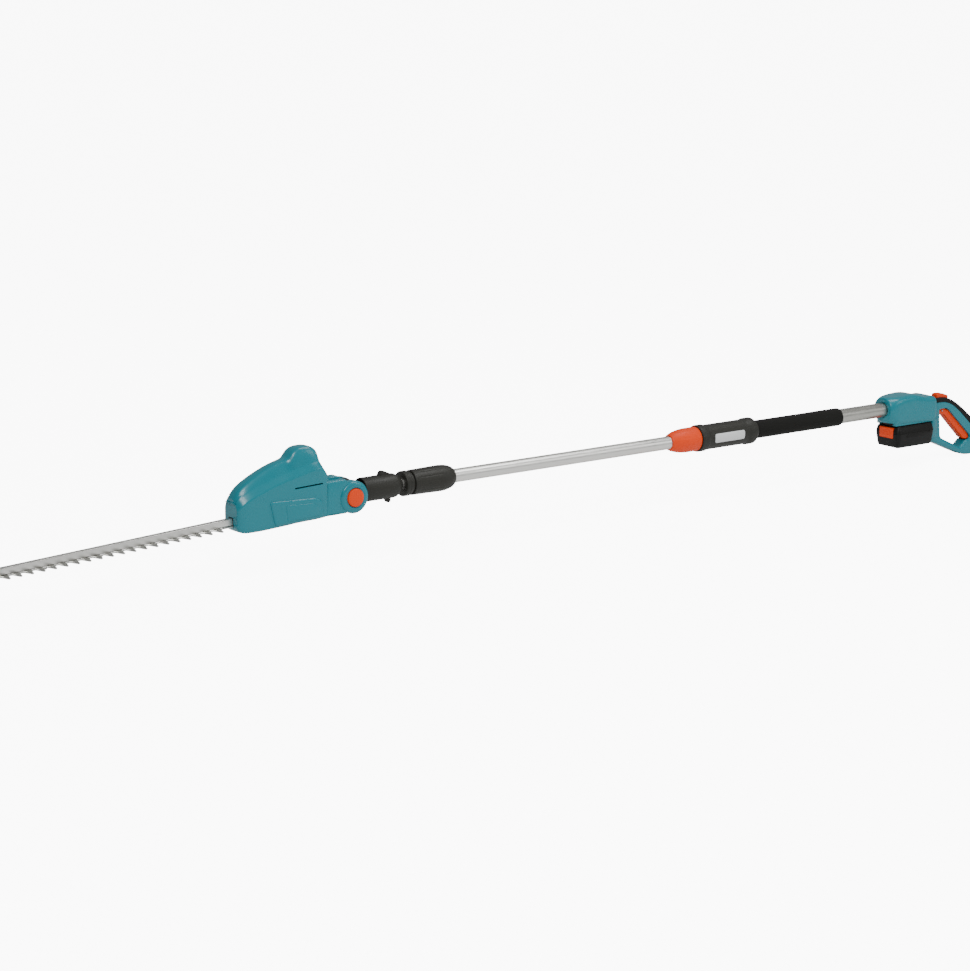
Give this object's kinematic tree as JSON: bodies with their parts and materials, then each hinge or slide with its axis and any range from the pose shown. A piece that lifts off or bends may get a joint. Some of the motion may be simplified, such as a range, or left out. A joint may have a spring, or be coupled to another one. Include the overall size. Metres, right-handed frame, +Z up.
{
  "type": "pole hedge trimmer",
  "caption": "Cordless telescopic pole hedge trimmer: double-sided blade on a tilting gear head, twist-lock pole, foam grip, D-handle and slide-on battery.",
  "frame": {"origin": "centre of the bounding box, at the height of the lowest point, the underside of the D-handle", "axes": "+X along the pole towards the handle, +Z up, -Y the side with the tilt button"},
  "size_m": [2.7962, 0.084, 0.2568],
  "materials": {
    "teal_gloss": "glossy moulded shell",
    "orange_plastic": "satin moulded",
    "charcoal_plastic": "fine matt grain",
    "black_plastic": "fine matt grain",
    "soft_grip": "soft matt overmould",
    "foam": "closed-cell foam",
    "blade_steel": "ground and brushed",
    "plain_steel": "bright",
    "tube_alu": "brushed along the tube",
    "tube_alu_dark": "satin anodised",
    "cast_alu": "as cast",
    "bronze": "sintered",
    "badge": "satin plate",
    "board": "lacquered",
    "cell_wrap": "shrink wrap",
    "contact_brass": "plated"
  },
  "bodies": {
    "rear": {"outer_tube": "tube_alu_dark", "foam_grip": "foam", "clamp_sleeve": "charcoal_plastic", "badge_plate": "badge", "clamp_collet": "black_plastic", "coiled_lead": "black_plastic", "housing_left": "teal_gloss", "housing_right": "teal_gloss", "housing_screws": "plain_steel", "tube_socket": "black_plastic", "control_board": "board", "contact_block": "black_plastic", "switch_unit": "black_plastic", "trigger_pin": "plain_steel", "trigger_spring": "plain_steel", "lock_spring": "plain_steel", "grip_overmould": "soft_grip"},
    "clamp_nut": {"clamp_nut": "orange_plastic"},
    "boom": {"inner_tube": "tube_alu", "tube_collar": "cast_alu", "boom_lead": "black_plastic", "guide_bush": "black_plastic"},
    "coupling_nut": {"coupling_nut": "charcoal_plastic"},
    "arm": {"knuckle_arm": "charcoal_plastic", "front_tube": "tube_alu", "coupling_ring": "charcoal_plastic", "detent_ring": "plain_steel", "thrust_washer": "plain_steel"},
    "head": {"guide_bar": "tube_alu", "blade_screws": "plain_steel", "tip_guard": "black_plastic", "head_shell_left": "teal_gloss", "head_shell_right": "teal_gloss", "head_screws": "plain_steel", "gear_plate": "cast_alu", "gear_post": "plain_steel", "motor_can": "charcoal_plastic", "blade_wiper": "soft_grip", "hub_cap": "teal_gloss", "tilt_spring": "plain_steel", "pivot_pin": "plain_steel"},
    "tilt_button": {"tilt_button": "orange_plastic"},
    "upper_blade": {"upper_blade": "blade_steel"},
    "lower_blade": {"lower_blade": "blade_steel"},
    "crank": {"crank_gear": "plain_steel", "crank_bush": "bronze"},
    "rotor": {"motor_rotor": "plain_steel"},
    "trigger": {"trigger": "orange_plastic"},
    "lock_button": {"lock_button": "orange_plastic"},
    "battery": {"battery_case_upper": "black_plastic", "battery_case_lower": "black_plastic", "battery_cells": "cell_wrap", "battery_terminals": "contact_brass", "battery_spring": "plain_steel"},
    "battery_button": {"battery_button": "orange_plastic"}
  },
  "joints": [
    {"name": "telescope", "type": "slide", "parent": "rear", "child": "boom", "axis": [1, 0, 0], "range_m": [0, 0.5]},
    {"name": "clamp_twist", "type": "hinge", "parent": "rear", "child": "clamp_nut", "pos_m": [0.42106, 0, 0.142], "axis": [1, 0, 0], "range_deg": [0, 90]},
    {"name": "coupling_twist", "type": "hinge", "parent": "boom", "child": "coupling_nut", "pos_m": [-0.27894, 0, 0.142], "axis": [1, 0, 0], "range_deg": [0, 180]},
    {"name": "arm_release", "type": "slide", "parent": "boom", "child": "arm", "axis": [-1, 0, 0], "range_m": [0, 0.06]},
    {"name": "head_tilt", "type": "hinge", "parent": "arm", "child": "head", "pos_m": [-0.50894, 0, 0.137], "axis": [0, 1, 0], "range_deg": [-60, 75]},
    {"name": "tilt_button_push", "type": "slide", "parent": "head", "child": "tilt_button", "axis": [0, 1, 0], "range_m": [0, 0.005], "stiffness_N_per_m": 1200, "springref_m": -0.002},
    {"name": "upper_blade_stroke", "type": "slide", "parent": "head", "child": "upper_blade", "axis": [0.9986, 0, 0.0523], "range_m": [-0.0064, 0.0064]},
    {"name": "lower_blade_stroke", "type": "slide", "parent": "head", "child": "lower_blade", "axis": [0.9986, 0, 0.0523], "range_m": [-0.0064, 0.0064]},
    {"name": "crank_spin", "type": "hinge", "parent": "head", "child": "crank", "pos_m": [-0.64693, 0, 0.1527], "axis": [-0.0523, 0, 0.9986], "continuous": true},
    {"name": "motor_spin", "type": "hinge", "parent": "head", "child": "rotor", "pos_m": [-0.61497, 0, 0.15437], "axis": [-0.0523, 0, 0.9986], "continuous": true},
    {"name": "trigger_pull", "type": "hinge", "parent": "rear", "child": "trigger", "pos_m": [1.24906, 0, 0.12], "axis": [0, -1, 0], "range_deg": [0, 4], "stiffness_Nm_per_rad": 3, "springref_deg": -5.73, "deforming": ["trigger_spring"]},
    {"name": "lock_push", "type": "slide", "parent": "rear", "child": "lock_button", "axis": [0, 0, -1], "range_m": [0, 0.004], "stiffness_N_per_m": 600, "springref_m": -0.002, "deforming": ["lock_spring"]},
    {"name": "battery_slide", "type": "slide", "parent": "rear", "child": "battery", "axis": [-1, 0, 0], "range_m": [0, 0.13]},
    {"name": "battery_button_push", "type": "slide", "parent": "battery", "child": "battery_button", "axis": [1, 0, 0], "range_m": [0, 0.0035], "stiffness_N_per_m": 1200, "springref_m": -0.002}
  ],
  "couplings": [
    {"joint": "lower_blade_stroke", "follows": "upper_blade_stroke", "ratio": -1},
    {"joint": "motor_spin", "follows": "crank_spin", "ratio": -3.5714}
  ]
}
